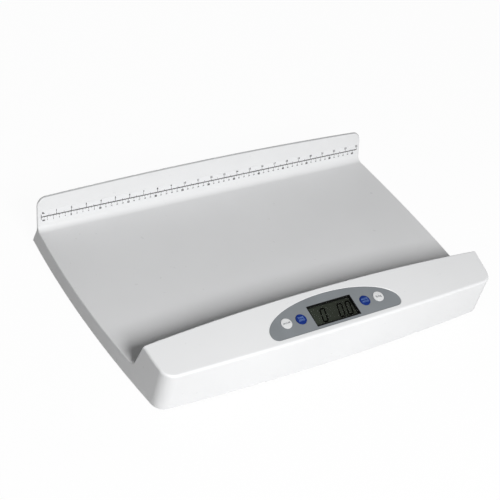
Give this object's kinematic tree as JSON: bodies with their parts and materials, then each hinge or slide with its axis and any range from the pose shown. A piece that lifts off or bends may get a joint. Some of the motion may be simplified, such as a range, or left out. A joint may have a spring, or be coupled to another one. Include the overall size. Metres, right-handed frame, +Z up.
{
  "type": "baby weighing scale",
  "caption": "Digital baby weighing scale: shallow moulded tray with a ruled arched backrest, a sloping console with display and sprung round keys, and feet on load cells.",
  "frame": {"origin": "middle of the footprint, on the surface that the rubber pads stand on", "axes": "+X along the tray to the right as seen from the console, +Y from the console to the backrest, +Z up"},
  "size_m": [0.631, 0.404, 0.0915],
  "materials": {
    "tray_white": "fine satin moulded ABS",
    "cover_white": "matt moulded ABS",
    "ruler": "printed film",
    "panel_grey": "satin grey film",
    "frame_black": "matt black",
    "window_clear": "clear hard-coated acrylic",
    "lcd": "dark reflective display",
    "key_white": "satin plastic",
    "key_blue": "satin plastic",
    "board_green": "solder mask",
    "switch_black": "moulded",
    "steel": "zinc plated",
    "foot_grey": "moulded",
    "pad_rubber": "soft rubber",
    "battery": "sleeved steel can",
    "nickel": "nickel plated spring steel"
  },
  "bodies": {
    "scale": {"base_cover": "cover_white", "battery_1": "battery", "battery_2": "battery", "battery_3": "battery", "battery_4": "battery", "battery_5": "battery", "battery_6": "battery", "battery_contacts": "nickel", "board_screws": "steel", "cell_front_left": "steel", "cell_front_right": "steel", "cell_rear_left": "steel", "cell_rear_right": "steel", "control_board": "board_green", "control_panel": "panel_grey", "cover_screws": "steel", "display_frame": "frame_black", "display_glass": "lcd", "display_window": "window_clear", "foot_front_left": "foot_grey", "foot_front_right": "foot_grey", "foot_rear_left": "foot_grey", "foot_rear_right": "foot_grey", "measuring_strip": "ruler", "pad_front_left": "pad_rubber", "pad_front_right": "pad_rubber", "pad_rear_left": "pad_rubber", "pad_rear_right": "pad_rubber", "switch_hold": "switch_black", "switch_power": "switch_black", "switch_units": "switch_black", "switch_zero": "switch_black", "tray_shell": "tray_white"},
    "door": {"battery_door": "cover_white"},
    "power_key": {"key_power": "key_white"},
    "zero_key": {"key_zero": "key_blue"},
    "hold_key": {"key_hold": "key_blue"},
    "units_key": {"key_units": "key_white"}
  },
  "joints": [
    {"name": "power_press", "type": "slide", "parent": "scale", "child": "power_key", "axis": [0, -0.2045, 0.9789], "range_m": [-0.0008, 0], "stiffness_N_per_m": 800, "springref_m": 0.0006},
    {"name": "zero_press", "type": "slide", "parent": "scale", "child": "zero_key", "axis": [0, -0.2045, 0.9789], "range_m": [-0.0008, 0], "stiffness_N_per_m": 800, "springref_m": 0.0006},
    {"name": "hold_press", "type": "slide", "parent": "scale", "child": "hold_key", "axis": [0, -0.2045, 0.9789], "range_m": [-0.0008, 0], "stiffness_N_per_m": 800, "springref_m": 0.0006},
    {"name": "units_press", "type": "slide", "parent": "scale", "child": "units_key", "axis": [0, -0.2045, 0.9789], "range_m": [-0.0008, 0], "stiffness_N_per_m": 800, "springref_m": 0.0006},
    {"name": "door_hinge", "type": "hinge", "parent": "scale", "child": "door", "pos_m": [0, 0.06615, 0.0076], "axis": [1, 0, 0], "range_deg": [0, 95]}
  ]
}
